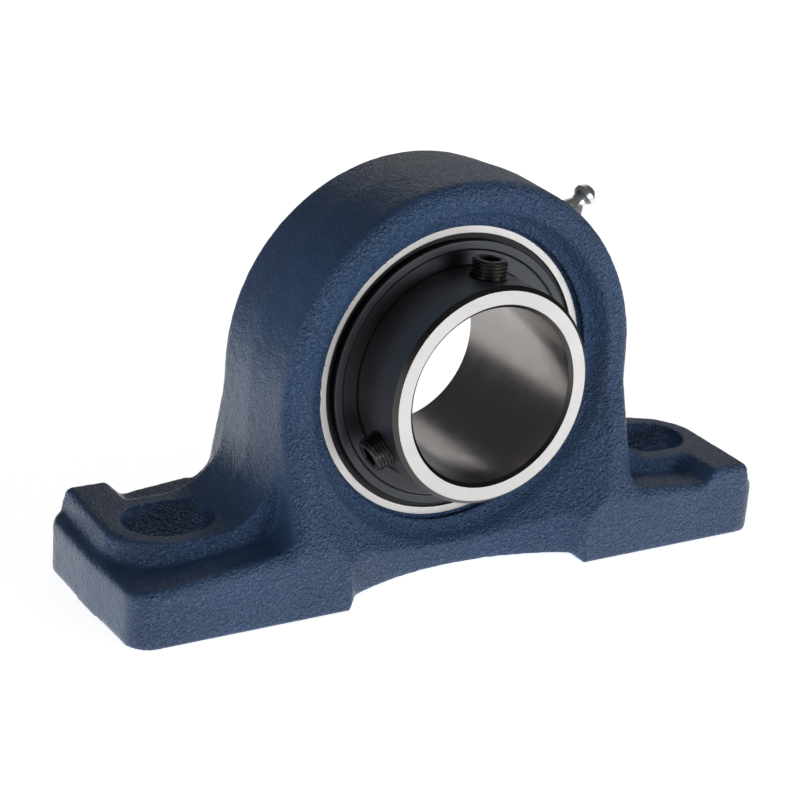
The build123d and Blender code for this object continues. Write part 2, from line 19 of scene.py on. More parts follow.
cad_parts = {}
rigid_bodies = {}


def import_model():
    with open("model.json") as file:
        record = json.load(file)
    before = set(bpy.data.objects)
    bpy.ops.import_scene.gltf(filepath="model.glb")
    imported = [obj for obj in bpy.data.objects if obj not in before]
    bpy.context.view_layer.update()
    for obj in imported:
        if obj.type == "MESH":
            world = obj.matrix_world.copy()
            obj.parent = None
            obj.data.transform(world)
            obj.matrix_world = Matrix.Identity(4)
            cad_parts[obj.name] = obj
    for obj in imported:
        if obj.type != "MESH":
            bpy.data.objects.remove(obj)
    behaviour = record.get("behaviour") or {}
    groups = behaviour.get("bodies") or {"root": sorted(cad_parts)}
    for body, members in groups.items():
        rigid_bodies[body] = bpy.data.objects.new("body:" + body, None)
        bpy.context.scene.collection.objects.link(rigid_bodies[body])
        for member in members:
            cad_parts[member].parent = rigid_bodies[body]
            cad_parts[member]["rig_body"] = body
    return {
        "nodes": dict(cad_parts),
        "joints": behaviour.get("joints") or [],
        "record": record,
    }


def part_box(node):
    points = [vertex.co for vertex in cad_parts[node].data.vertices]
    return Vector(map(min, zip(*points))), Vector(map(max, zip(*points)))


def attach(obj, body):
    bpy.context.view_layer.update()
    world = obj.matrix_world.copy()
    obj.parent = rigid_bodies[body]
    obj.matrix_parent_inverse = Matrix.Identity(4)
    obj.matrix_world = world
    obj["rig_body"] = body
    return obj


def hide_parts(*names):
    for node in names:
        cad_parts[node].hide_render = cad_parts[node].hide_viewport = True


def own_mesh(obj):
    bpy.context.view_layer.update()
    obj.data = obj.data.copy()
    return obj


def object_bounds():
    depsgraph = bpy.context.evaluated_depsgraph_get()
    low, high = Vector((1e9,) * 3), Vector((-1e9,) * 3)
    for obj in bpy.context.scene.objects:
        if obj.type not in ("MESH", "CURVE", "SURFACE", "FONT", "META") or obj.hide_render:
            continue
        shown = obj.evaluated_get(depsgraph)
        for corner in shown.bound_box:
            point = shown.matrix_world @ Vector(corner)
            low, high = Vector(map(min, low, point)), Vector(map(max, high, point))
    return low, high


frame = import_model()
cad_low, cad_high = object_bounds()
MM = 0.001
print("the whole part is", [round((high - low) / MM, 1) for low, high in zip(cad_low, cad_high)], "mm")

# %% [markdown]
# ## Camera
#
# The photograph was taken from the front left, a little above the shaft, with a long lens, so that lines
# stay nearly parallel. A camera can be aimed with a constraint, but here its direction is kept as three
# angles, because that is how a photographer would note it: how far round the object, how high, and how much
# the camera leaned.

# %% Camera
CAMERA_AZIMUTH = math.radians(-32.463)
CAMERA_ELEVATION = math.radians(20.521)
CAMERA_LEAN = math.radians(4.158)
CAMERA_PLACE = Vector((-0.3023, -0.4611, 0.1934))
CAMERA_LENS = 93.885
CAMERA_SENSOR = 36.0


def camera_turn(azimuth, elevation, lean):
    """The camera's rotation from its angles round, above and about its own line of sight."""
    back = Vector((math.sin(azimuth) * math.cos(elevation),
                   -math.cos(azimuth) * math.cos(elevation), math.sin(elevation)))
    right = Vector((math.cos(azimuth), math.sin(azimuth), 0))
    up = back.cross(right)
    side = right * math.cos(lean) + up * math.sin(lean)
    top = up * math.cos(lean) - right * math.sin(lean)
    return Matrix((side, top, back)).transposed()


camera = bpy.data.objects.new("camera", bpy.data.cameras.new("camera"))
camera.data.sensor_width = CAMERA_SENSOR
camera.data.lens = CAMERA_LENS
turn = camera_turn(CAMERA_AZIMUTH, CAMERA_ELEVATION, CAMERA_LEAN)
camera.matrix_world = Matrix.Translation(CAMERA_PLACE) @ turn.to_4x4()
bpy.context.scene.collection.objects.link(camera)
bpy.context.scene.camera = camera
bpy.context.scene.view_settings.view_transform = "Standard"
print("the camera is", round(CAMERA_PLACE.length, 2), "m from the bore, with a lens of", CAMERA_LENS, "mm")

# %% [markdown]
# ## Nodes and colours
#
# Materials are small graphs of nodes. They could be drawn by hand in the shader editor, but written as code
# each one can be read like a recipe. One function adds a node with its settings and links, and one turns a
# colour as it is read off a picture, in sRGB hex, into the linear light values that a renderer works with.


# %% Node and colour helpers
def node(tree, kind, inputs=None, **settings):
    """Adds a node. Each input takes a value, or another node's output socket, which is linked."""
    made = tree.nodes.new(kind)
    for name, value in settings.items():
        setattr(made, name, value)
    for name, value in (inputs or {}).items():
        if isinstance(value, bpy.types.NodeSocket):
            tree.links.new(value, made.inputs[name])
        else:
            made.inputs[name].default_value = value
    return made


def linear(hex_colour):
    """A linear RGBA colour from an sRGB hex value such as 3c4a66."""
    parts = [int(hex_colour[i:i + 2], 16) / 255 for i in (0, 2, 4)]
    return (*[c / 12.92 if c <= 0.04045 else ((c + 0.055) / 1.055) ** 2.4 for c in parts], 1.0)


def finish_of(name, colour, metallic, roughness, **sockets):
    """A new material with its surface shader: returns the material, its node tree and the shader."""
    made = bpy.data.materials.new(name)
    made.use_nodes = True
    shader = made.node_tree.nodes["Principled BSDF"]
    shader.inputs["Base Color"].default_value = linear(colour)
    shader.inputs["Metallic"].default_value = metallic
    shader.inputs["Roughness"].default_value = roughness
    for socket, value in sockets.items():
        shader.inputs[socket.replace("_", " ")].default_value = value
    return made, made.node_tree, shader


# %% [markdown]
# ## Room and paper
#
# The part stands on white paper in a dark room. A white world alone would give the white ground, but it
# would also light the casting from every side and wash out its colour. So the paper is white to the camera
# everywhere, and in reflections it is bright only near the part, as a sheet on a small table is: the lower
# sides of the casting mirror it, and the long curve above them mirrors the dark room. It also gives soft
# light back from below. The room gives only a little light, and less from its ceiling than from its walls.
# The floor is a real surface, so that the casting stands in its own soft shadow. Away from the part it
# glows a little more, as a paper sweep does where it turns up behind the table.

# %% World
ROOM_LIGHT = 0.12
ROOM_MIRRORED = 0.1
WALL_TOP = math.sin(math.radians(2))
CEILING_START = math.sin(math.radians(30))
CEILING_SHARE = 0.85


def seen_directly(tree):
    """1 for rays from the camera, a mirror or glass, and 0 for the rays that carry soft light."""
    path = node(tree, "ShaderNodeLightPath").outputs
    some = node(tree, "ShaderNodeMath", {0: path["Is Camera Ray"], 1: path["Is Glossy Ray"]},
                operation="MAXIMUM")
    every = node(tree, "ShaderNodeMath", {0: some.outputs[0], 1: path["Is Transmission Ray"]},
                 operation="MAXIMUM")
    return every.outputs[0]


world = bpy.data.worlds.new("studio")
world.use_nodes = True
bpy.context.scene.world = world
tree = world.node_tree
direction = node(tree, "ShaderNodeTexCoord").outputs["Generated"]
height = node(tree, "ShaderNodeSeparateXYZ", {0: direction}).outputs["Z"]
wall = node(tree, "ShaderNodeMapRange", {"Value": height, "From Min": WALL_TOP, "From Max": CEILING_START,
                                         "To Min": 1.0, "To Max": CEILING_SHARE},
            interpolation_type="SMOOTHSTEP")
level = node(tree, "ShaderNodeMapRange", {"Value": seen_directly(tree), "To Min": ROOM_LIGHT,
                                          "To Max": ROOM_MIRRORED})
lit = node(tree, "ShaderNodeMath", {0: wall.outputs["Result"], 1: level.outputs["Result"]},
           operation="MULTIPLY")
camera_ray = node(tree, "ShaderNodeLightPath").outputs["Is Camera Ray"]
shown = node(tree, "ShaderNodeMath", {0: lit.outputs[0], 1: camera_ray}, operation="MAXIMUM")
background = tree.nodes["Background"]
background.inputs["Color"].default_value = linear("ffffff")
tree.links.new(shown.outputs[0], background.inputs["Strength"])

# %% Floor
FLOOR_SIZE = 6.0
FLOOR_COLOUR = "e9e9e8"
FLOOR_ROUGHNESS = 0.9
FLOOR_GLOW_NEAR = 0.88
FLOOR_GLOW_FAR = 1.0
FLOOR_MIRRORED = 1.15
FLOOR_BOUNCE = 1.1
SWEEP_START = 0.12
SWEEP_END = 0.4
TABLE_END = 0.2
TABLE_DARK = 0.38

floor_mesh = bpy.data.meshes.new("floor")
half = FLOOR_SIZE / 2
corners = [(-half, -half, 0), (half, -half, 0), (half, half, 0), (-half, half, 0)]
floor_mesh.from_pydata(corners, [], [(0, 1, 2, 3)])
floor = bpy.data.objects.new("floor", floor_mesh)
floor.location.z = cad_low.z
bpy.context.scene.collection.objects.link(floor)

floor_material, tree, shader = finish_of("white_floor", FLOOR_COLOUR, 0.0, FLOOR_ROUGHNESS)
place = node(tree, "ShaderNodeTexCoord").outputs["Object"]
away = node(tree, "ShaderNodeVectorMath", {0: place}, operation="LENGTH").outputs["Value"]
sweep = node(tree, "ShaderNodeMapRange", {"Value": away, "From Min": SWEEP_START, "From Max": SWEEP_END,
                                          "To Min": FLOOR_GLOW_NEAR, "To Max": FLOOR_GLOW_FAR},
             interpolation_type="SMOOTHSTEP")
camera_ray = node(tree, "ShaderNodeLightPath").outputs["Is Camera Ray"]
table = node(tree, "ShaderNodeMapRange", {"Value": away, "From Min": TABLE_END, "From Max": TABLE_DARK,
                                          "To Min": FLOOR_MIRRORED, "To Max": ROOM_MIRRORED},
             interpolation_type="SMOOTHSTEP")
indirect = node(tree, "ShaderNodeMapRange", {"Value": seen_directly(tree), "To Min": FLOOR_BOUNCE,
                                             "To Max": table.outputs["Result"]})
share = node(tree, "ShaderNodeMix", {"Factor": camera_ray, "A": indirect.outputs["Result"], "B": 1.0})
glow = node(tree, "ShaderNodeMath", {0: share.outputs["Result"], 1: sweep.outputs["Result"]},
            operation="MULTIPLY")
shader.inputs["Emission Color"].default_value = linear("ffffff")
tree.links.new(glow.outputs[0], shader.inputs["Emission Strength"])
floor_mesh.materials.append(floor_material)
print("the paper lies", round(-floor.location.z / MM, 1), "mm below the bore's centre")

# %% [markdown]
# ## Lamps
#
# The light is broad and low and comes from the front right, with almost none from above: faces that look to
# the front are bright, and the tops of the feet stay dark. One low softbox gives that, with a small weak
# one low on the left, a dim one overhead and a dim panel behind the right side that fills the bore. Point
# lamps would be simpler, but a softbox is a glowing rectangle, and the size of that rectangle sets how soft
# its highlights and shadows are.


# %% Lamps
def softbox(name, place, width, height, power):
    """A rectangular area lamp that faces the bearing."""
    lamp = bpy.data.objects.new(name, bpy.data.lights.new(name, "AREA"))
    lamp.data.shape = "RECTANGLE"
    lamp.data.size = width
    lamp.data.size_y = height
    lamp.data.energy = power
    lamp.location = place
    lamp.rotation_mode = "QUATERNION"
    lamp.rotation_quaternion = (-Vector(place)).to_track_quat("-Z", "Y")
    bpy.context.scene.collection.objects.link(lamp)
    print(name, "stands", round(Vector(place).length, 2), "m away and gives", power, "W")


softbox("front_softbox", place=(0.55, -1.05, 0.08), width=0.8, height=0.26, power=6.4)
softbox("left_softbox", place=(-1.1, -0.5, 0.02), width=0.4, height=0.16, power=1.3)
softbox("overhead_softbox", place=(0.1, -0.35, 1.2), width=0.4, height=0.3, power=0.3)
softbox("rear_right_panel", place=(0.7, 1.0, 0.56), width=0.9, height=0.5, power=1.0)

# %% [markdown]
# ## Rounded outlines
#
# Rings, slingers, screws and the grease nipple are all made on a lathe or pressed round, so each is an
# outline spun about an axis. A corner on real steel is never perfectly sharp: the small round on it catches
# the light, and that thin bright line is most of what makes metal look like metal. A bevel modifier could
# round the finished mesh, but a true radius at each corner of the outline gives cleaner faces. Outlines are
# written as complex numbers, radius + height * 1j, which makes turning and scaling in the plane one
# multiplication.

# %% Rounded outlines
ROUND_STEPS = 4
NEARLY_STRAIGHT = math.radians(85)
CORNER_SHARE = 0.45
FLAT_KEEP = 0.02


def rounded(outline, radius):
    """The closed outline with an arc of this radius, or as large as fits, at each of its corners."""
    result = []
    for i, corner in enumerate(outline):
        before, after = outline[i - 1] - corner, outline[(i + 1) % len(outline)] - corner
        u, v = before / abs(before), after / abs(after)
        half_angle = abs(np.angle(v / u)) / 2
        if half_angle > NEARLY_STRAIGHT:
            result.append(corner)
            continue
        cut = min(radius / math.tan(half_angle), CORNER_SHARE * abs(before), CORNER_SHARE * abs(after))
        start, end = corner + u * cut, corner + v * cut
        middle = corner + (u + v) / abs(u + v) * cut / math.cos(half_angle)
        swing = np.angle((end - middle) / (start - middle))
        angles = [swing * k / ROUND_STEPS for k in range(ROUND_STEPS + 1)]
        bend = [middle + (start - middle) * np.exp(1j * angle) for angle in angles]
        result += [start + u * FLAT_KEEP, *bend, end + v * FLAT_KEEP]
    return result


# %% [markdown]
# ## Skins from rings of points
#
# Everything round here is the same kind of mesh: rings of equally many points, joined by quads. Blender's
# own screw modifier spins an outline or winds a thread, but it can't run a thread out at a chamfer or go on
# into a hexagon. Rings of points do all of that, so one function joins them, and the others only decide
# where the points of a ring lie.

# %% Rings and lathe
LATHE_STEPS = 192
WELD = 1e-7
ABOUT_BORE = Matrix.Rotation(math.radians(-90), 4, "X")


def circle(radius, height, steps=LATHE_STEPS):
    """One ring of points round the local Z axis. The radius may be one value, or one for each point."""
    angles = 2 * math.pi * np.arange(steps) / steps
    return np.stack([radius * np.cos(angles), radius * np.sin(angles), np.broadcast_to(height, steps)], 1)


def skinned(name, rings, closed=False, ends=False):
    """A mesh object of rings joined with quads, closed into a torus or capped at its ends."""
    count, steps = len(rings), len(rings[0])
    verts = np.concatenate(rings)
    faces = []
    for i in range(count if closed else count - 1):
        low, high = i * steps, (i + 1) % count * steps
        faces += [(low + k, low + (k + 1) % steps, high + (k + 1) % steps, high + k) for k in range(steps)]
    if ends:
        faces += [tuple(reversed(range(steps))), tuple(range((count - 1) * steps, count * steps))]
    mesh = bpy.data.meshes.new(name)
    mesh.from_pydata(verts.tolist(), [], faces)
    made = bmesh.new()
    made.from_mesh(mesh)
    bmesh.ops.remove_doubles(made, verts=made.verts, dist=WELD)
    bmesh.ops.recalc_face_normals(made, faces=made.faces)
    made.to_mesh(mesh)
    made.free()
    mesh.shade_smooth()
    piece = bpy.data.objects.new(name, mesh)
    bpy.context.scene.collection.objects.link(piece)
    return piece


def placed(piece, matrix):
    """Moves the piece's mesh, so that its object stays at the origin."""
    piece.data.transform(matrix)
    return piece


def lathe(name, outline, edge_radius):
    """A closed outline of (radius, y) in millimetres, rounded at its corners and spun about the bore."""
    points = [p * MM for p in rounded([r + y * 1j for r, y in outline], edge_radius)]
    piece = skinned(name, [circle(p.real, p.imag) for p in points], closed=True)
    return placed(piece, ABOUT_BORE)


# %% [markdown]
# ## Sizes read from the model
#
# Nothing here is measured twice. Each radius and depth comes from the box of the solid that holds it, so a
# turned piece always lands where the model has it. A dressed piece hides the solid it stands for, which
# stays in the model for weight and contact, and it rides on the same moving body.


# %% Sizes read from the model
def named(records, name):
    """The one of these records that has this name."""
    return next(record for record in records if record["name"] == name)


def reach(name):
    """A round piece's outer radius, front and rear in millimetres, from its box."""
    low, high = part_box(name)
    return high.x / MM, low.y / MM, high.y / MM


def stands_for(piece, slot, *nodes):
    """The piece replaces these nodes, which are hidden, and rides on their body. The slot is not used."""
    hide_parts(*nodes)
    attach(piece, frame["nodes"][nodes[0]]["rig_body"])


BORE_RADIUS = named(frame["record"]["mounts"], "shaft_bore")["dims"]["r_mm"]
RING_RADIUS, RING_FRONT, RING_REAR = reach("inner_ring")
OUTER_SPHERE, OUTER_FRONT, OUTER_REAR = reach("outer_ring")
CORE_RADIUS = reach("front_seal_core")[0]
SLINGER_RADIUS = reach("front_slinger")[0]
ball_low, ball_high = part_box("ball_01")
BALL_RADIUS = (ball_high.z - ball_low.z) / 2 / MM
PITCH_RADIUS = (ball_high.z + ball_low.z) / 2 / MM
print("inner ring", RING_RADIUS, "balls", BALL_RADIUS, "on", PITCH_RADIUS, "slinger", SLINGER_RADIUS)

# %% [markdown]
# ## Blue enamel on sand-cast iron
#
# The housing is grey iron poured in a sand mould, so its skin keeps the print of the sand: soft bumps about
# a millimetre across. It is then sprayed with a blue machine enamel, which fills the finest pits and leaves
# a low, uneven gloss like orange peel. To the eye that means small broken highlights, lighter on every
# ridge that catches the light, and no clean reflection anywhere. Part of that highlight is painted: every
# ridge of the grain is coloured a lighter blue, wherever the light falls. The paint runs together on the
# tops and the long outer curve, so there less of the grain and of its painted highlight shows than on the
# upright front and rear. The bumps are a height map of noise in two sizes, each given as a real length in
# millimetres, so they stay the same size on every side and show no seam. They are drawn higher than real
# ones, because those would be too low to show in a picture of the whole casting.

# %% Painted casting
SAND_GRAIN = 1.0
PAINT_PEEL = 0.5
PEEL_SHARE = 0.3
SPRAY_CLOUD = 28.0
GRAIN_HEIGHT = 2.8
LEVELLED_SHARE = 0.24
UPRIGHT_START = 0.25
UPRIGHT_FULL = 0.75
ENAMEL = "385174"
ENAMEL_DEEP = "344c6e"
ENAMEL_THIN = "3b567b"
# The lighter blue painted on every ridge of the grain as its highlight.
RIDGE_HIGHLIGHT_BLUE = "5c769e"
RIDGE_START = 0.5
RIDGE_TOP = 0.68
RIDGE_HIGHLIGHT_SHARE = 0.5
ENAMEL_GLOSS = (0.18, 0.34)
# Nearly all of a noise texture lies between these two values.
NOISE_LOW = 0.3
NOISE_HIGH = 0.7


def millimetres(tree):
    """The place on the piece, in millimetres."""
    place = node(tree, "ShaderNodeTexCoord").outputs["Object"]
    return node(tree, "ShaderNodeVectorMath", {0: place, "Scale": 1 / MM}, operation="SCALE").outputs[0]


def noise(tree, size, detail=2.0, roughness=0.5, distortion=0.0):
    """Noise whose spots are this many millimetres across."""
    return node(tree, "ShaderNodeTexNoise", {"Vector": millimetres(tree), "Scale": 1 / size,
                                             "Detail": detail, "Roughness": roughness,
                                             "Distortion": distortion}).outputs["Fac"]


def painted_iron():
    """Blue machine enamel over the skin of a sand casting, with a painted highlight of lighter blue on its
    ridges.
    """
    made, tree, shader = finish_of("blue_enamel_on_cast_iron", ENAMEL, 0.0, 0.22, Specular_IOR_Level=0.4)
    sand = noise(tree, SAND_GRAIN, roughness=0.6, distortion=0.6)
    peel = noise(tree, PAINT_PEEL, distortion=0.3)
    height = node(tree, "ShaderNodeMix", {"Factor": PEEL_SHARE, "A": sand, "B": peel}).outputs["Result"]
    normal = node(tree, "ShaderNodeTexCoord").outputs["Normal"]
    facing = node(tree, "ShaderNodeSeparateXYZ", {0: normal}).outputs["Y"]
    frontal = node(tree, "ShaderNodeMath", {0: facing}, operation="ABSOLUTE").outputs[0]
    open_grain = node(tree, "ShaderNodeMapRange", {"Value": frontal, "From Min": UPRIGHT_START,
                                                   "From Max": UPRIGHT_FULL,
                                                   "To Min": LEVELLED_SHARE}).outputs["Result"]
    bump = node(tree, "ShaderNodeBump", {"Height": height, "Distance": GRAIN_HEIGHT * MM,
                                         "Strength": open_grain})
    tree.links.new(bump.outputs["Normal"], shader.inputs["Normal"])
    cloud = node(tree, "ShaderNodeMapRange", {"Value": noise(tree, SPRAY_CLOUD), "From Min": NOISE_LOW,
                                              "From Max": NOISE_HIGH})
    coat = node(tree, "ShaderNodeMix", {"Factor": cloud.outputs["Result"], "A": linear(ENAMEL_DEEP),
                                        "B": linear(ENAMEL_THIN)}, data_type="RGBA")
    # Painted highlight: every ridge of the grain gets a lighter blue, most on faces that look to the front
    # or rear, whether light reaches it or not.
    ridge = node(tree, "ShaderNodeMapRange", {"Value": height, "From Min": RIDGE_START,
                                              "From Max": RIDGE_TOP, "To Max": RIDGE_HIGHLIGHT_SHARE})
    shown = node(tree, "ShaderNodeMath", {0: ridge.outputs["Result"], 1: open_grain}, operation="MULTIPLY")
    enamel_with_ridge_highlights = node(tree, "ShaderNodeMix", {"Factor": shown.outputs[0], "A": coat.outputs["Result"],
                                        "B": linear(RIDGE_HIGHLIGHT_BLUE)}, data_type="RGBA")
    tree.links.new(enamel_with_ridge_highlights.outputs["Result"], shader.inputs["Base Color"])
    shine = node(tree, "ShaderNodeMapRange", {"Value": sand, "To Min": ENAMEL_GLOSS[0],
                                              "To Max": ENAMEL_GLOSS[1]})
    tree.links.new(shine.outputs["Result"], shader.inputs["Roughness"])
    return made


# %% [markdown]
# ## Steel that was turned or ground
#
# Steel shows how it was cut. A face that was turned or ground while it spun has very fine rings round its
# centre, and a bore or an outside diameter has them round its length. The rings stretch each highlight
# across themselves. An even roughness would lose that, so the shader gets a ring pattern in its bump and an
# anisotropic highlight that runs round the bore. The spacing of real grinding marks, a few hundredths of a
# millimetre, is too fine to show here, so they are drawn as fine as the picture can hold.

# %% Turned and ground steel
RING_MARKS = 0.35
TOUCHED_SPOTS = 7.0
TOUCHED_CHANGE = 0.05


def turned_steel(name, colour, roughness, over, mark_height, anisotropic=0.55):
    """Steel cut while it turned. Its fine rings change over the radius, or over the length of the bore."""
    made, tree, shader = finish_of(name, colour, 1.0, roughness, Anisotropic=anisotropic)
    parts = node(tree, "ShaderNodeSeparateXYZ", {0: millimetres(tree)}).outputs
    flat = node(tree, "ShaderNodeCombineXYZ", {"X": parts["X"], "Y": parts["Z"]}).outputs[0]
    radius = node(tree, "ShaderNodeVectorMath", {0: flat}, operation="LENGTH").outputs["Value"]
    where = radius if over == "radius" else parts["Y"]
    marks = node(tree, "ShaderNodeTexNoise", {"W": where, "Scale": 1 / RING_MARKS, "Detail": 3.0},
                 noise_dimensions="1D")
    bump = node(tree, "ShaderNodeBump", {"Height": marks.outputs["Fac"], "Distance": mark_height * MM})
    tree.links.new(bump.outputs["Normal"], shader.inputs["Normal"])
    tangent = node(tree, "ShaderNodeTangent", direction_type="RADIAL", axis="Y")
    tree.links.new(tangent.outputs[0], shader.inputs["Tangent"])
    touched = noise(tree, TOUCHED_SPOTS, detail=3.0, roughness=0.6)
    film = node(tree, "ShaderNodeMapRange", {"Value": touched, "From Min": NOISE_LOW, "From Max": NOISE_HIGH,
                                             "To Min": roughness - TOUCHED_CHANGE,
                                             "To Max": roughness + TOUCHED_CHANGE})
    tree.links.new(film.outputs["Result"], shader.inputs["Roughness"])
    return made


# %% [markdown]
# ## Even steel and rubber
#
# Small parts are pressed, drawn, blackened, plated or tumbled, and none of that leaves a direction in the
# surface. They get a fine even noise as their bump, and a roughness that changes slowly, as a thin film of
# oil does. The seal lips are black nitrile rubber, moulded against a blasted steel die, so they are dull
# and finely pitted.

# %% Even steel and rubber
FILM_SPREAD = 6
FILM_CHANGE = 0.25
DIE_PITS = 0.3
PIT_DEPTH = 0.02


def plain_steel(name, colour, roughness, grain, height):
    """Steel with an even, directionless surface: pressed, blackened, plated or polished."""
    made, tree, shader = finish_of(name, colour, 1.0, roughness)
    bump = node(tree, "ShaderNodeBump", {"Height": noise(tree, grain, detail=3.0), "Distance": height * MM})
    tree.links.new(bump.outputs["Normal"], shader.inputs["Normal"])
    cloud = noise(tree, grain * FILM_SPREAD)
    film = node(tree, "ShaderNodeMapRange", {"Value": cloud, "From Min": NOISE_LOW, "From Max": NOISE_HIGH,
                                             "To Min": roughness * (1 - FILM_CHANGE),
                                             "To Max": roughness * (1 + FILM_CHANGE)})
    tree.links.new(film.outputs["Result"], shader.inputs["Roughness"])
    return made


def sealing_rubber():
    """Black nitrile rubber with the fine pits of its mould."""
    made, tree, shader = finish_of("nitrile_rubber", "161718", 0.0, 0.62)
    bump = node(tree, "ShaderNodeBump", {"Height": noise(tree, DIE_PITS), "Distance": PIT_DEPTH * MM})
    tree.links.new(bump.outputs["Normal"], shader.inputs["Normal"])
    return made


# %% [markdown]
# ## One finish for each surface
#
# One grey steel on every piece would look like plastic, because on a real bearing each surface was made in
# its own way and shows it. So each gets its own colour, roughness and marks, which were then matched to the
# photograph. Two colours also hold painted shade: the outside of the inner ring and the seal cores are
# darker than their steel.

# %% Finishes
# End faces are ground flat. The fine marks scatter the light, so the whole face is one pale, even tone.
ground_face = turned_steel("ground_face_steel", "c0bfbe", 0.5, "radius", 0.006, anisotropic=0.2)
# The outside is ground with little pressure. It is darker to the eye, because it faces the dark room.
# Its colour is also a darker grey than the end faces' steel: painted shade.
shaded_ground_outside = turned_steel("ground_outside_steel", "a3a3a3", 0.42, "length", 0.003)
# The bore is honed to fit its shaft. It is the smoothest ring surface, and mirrors the room in soft bands.
honed_bore = turned_steel("honed_bore_steel", "918d8b", 0.22, "length", 0.003)
# Chamfers are turned before the ring is hardened, and keep the dark skin that the furnace gives them.
turned_chamfer = turned_steel("turned_chamfer_steel", "4c4a48", 0.3, "radius", 0.006)
# The slingers are pressed sheet with a dark phosphate skin, which handling has burnished to a dull sheen.
pressed_dark = turned_steel("burnished_pressed_steel", "46484c", 0.46, "radius", 0.004, anisotropic=0.3)
# The seal cores have the same skin without the burnish, and their colour is set nearly black as painted
# shade, so they read as the shadowed groove between slinger and ring.
seal_steel_painted_dark = turned_steel("phosphated_seal_steel_in_painted_shade", "2f3032", 0.5, "radius", 0.006, anisotropic=0.2)
# The screws come black and a little oily from a hot oxide bath, so their thread crests shine.
black_oxide = plain_steel("black_oxide_steel", "4a4a48", 0.32, 0.5, 0.01)
# Bright zinc plate is almost white, with a soft reflection.
zinc_plate = plain_steel("zinc_plated_steel", "e8e9ea", 0.3, 0.8, 0.004)
# The cage is cold rolled strip: smooth and warm grey.
cage_steel = plain_steel("pressed_strip_steel", "a5a29d", 0.3, 0.7, 0.01)
# Balls are lapped for hours, and are as near to a mirror as steel gets.
ball_steel = plain_steel("polished_ball_steel", "dcdcdc", 0.06, 1.0, 0.0005)
# Spring wire is drawn through a die, which leaves it smooth.
spring_steel = plain_steel("drawn_spring_wire", "9c9c9e", 0.25, 0.3, 0.004)
# Bare grey iron is dull after milling, because graphite flakes break up its surface.
milled_iron = plain_steel("milled_grey_iron", "8b8986", 0.45, 0.9, 0.02)
enamel = painted_iron()
rubber = sealing_rubber()
print("materials in the file so far:", len(bpy.data.materials))

# %% [markdown]
# ## Housing
#
# A casting has no sharp edges. The pattern that shapes the sand has rounds everywhere, and the iron softens
# what is left. It could be modelled again with a subdivision surface, but the solid is already exact and
# has its large rounds, and the small ones come from its making: the solid is rebuilt as an even skin of
# small squares, and the skin is relaxed, which rounds ridges and fills hollows by a millimetre or two as a
# real mould does. The rims of the bolt slots relax a little less.

# %% Mesh helpers
def with_modifiers_applied(piece):
    """Gives the piece what its modifiers make as its own mesh."""
    evaluated = piece.evaluated_get(bpy.context.evaluated_depsgraph_get())
    mesh = bpy.data.meshes.new_from_object(evaluated)
    piece.modifiers.clear()
    piece.data = mesh


def points_of(piece):
    """The mesh's points in millimetres, one row each."""
    flat = np.empty(len(piece.data.vertices) * 3, np.float32)
    piece.data.vertices.foreach_get("co", flat)
    return flat.reshape(-1, 3) / MM


def set_points(piece, points):
    """Puts the mesh's points at these places in millimetres."""
    piece.data.vertices.foreach_set("co", (points * MM).astype(np.float32).ravel())
    piece.data.update()


# %% Skin of the casting
SKIN_SQUARE = 0.75

casting = bpy.data.objects.new("cast_housing", frame["nodes"]["housing"].data.copy())
bpy.context.scene.collection.objects.link(casting)
skin = casting.modifiers.new("skin", "REMESH")
skin.mode = "VOXEL"
skin.voxel_size = SKIN_SQUARE * MM
skin.use_smooth_shade = True
with_modifiers_applied(casting)
print("casting skin:", len(casting.data.polygons), "squares")

# %% [markdown]
# ## Machined places
#
# The machined places of a casting stay crisp. The spherical seat and the spot face under the nipple are
# held still while the rest relaxes, and afterwards the points of the seat are put exactly on their sphere,
# and those of the milled underside on their plane. They could be cut again after the relaxing, but a group
# of points that is held keeps the skin in one piece.

# %% Machined places
SEAT_GAP = 0.03
SEAT_HALF_WIDTH = 14.5
HELD_BAND = 0.7
BASE_BAND = 0.15
NIPPLE_BAND = 8.0
SLOT_RIM = 2.0
SLOT_SOFTNESS = 0.8

bolts = named(frame["record"]["mounts"], "base_bolts")["dims"]
bolt_place = bolts["spacing_x_mm"] / 2
slot_length = bolts["slot_length_mm"]
slot_width = 2 * bolts["hole_r_mm"]
nipple_valve = named(frame["joints"], "nipple_valve")
nipple_out = -Vector(nipple_valve["axis"]).normalized()
seat_radius = OUTER_SPHERE + SEAT_GAP

points = points_of(casting)
from_centre = np.linalg.norm(points, axis=1)
on_seat = abs(from_centre - seat_radius) < HELD_BAND
on_seat &= abs(points[:, 1]) < SEAT_HALF_WIDTH - HELD_BAND / 2
on_base = points[:, 2] < cad_low.z / MM + BASE_BAND
from_nipple = np.linalg.norm(points - np.outer(points @ np.array(nipple_out), nipple_out), axis=1)
near_nipple = (from_nipple < NIPPLE_BAND) & (points @ np.array(nipple_out) > 0)
along_slot = np.maximum(abs(abs(points[:, 0]) - bolt_place) - (slot_length - slot_width) / 2, 0)
to_slot = np.hypot(along_slot, points[:, 1]) - slot_width / 2
rough_skin = casting.vertex_groups.new(name="as_cast")
rough_skin.add(np.arange(len(points)).tolist(), 1.0, "REPLACE")
rough_skin.add(np.flatnonzero(abs(to_slot) < SLOT_RIM).tolist(), SLOT_SOFTNESS, "REPLACE")
rough_skin.add(np.flatnonzero(on_seat | near_nipple).tolist(), 0.0, "REPLACE")
print("points on the seat:", int(on_seat.sum()), "on the base:", int(on_base.sum()))

# %% [markdown]
# ## Relaxed and uneven
#
# After the relaxing, a very slight displacement gives the skin a true unevenness. A bump in the material
# can't do that, because it never changes the outline. It only goes inwards, so the casting never grows past
# its size. The seat inside and the underside are bare iron, and the rest is painted.

# %% Relaxed and uneven skin
RELAX_ROUNDS = 9
RELAX_STRENGTH = 0.5
SKIN_DEPTH = 0.22
SKIN_WAVE = 3.2

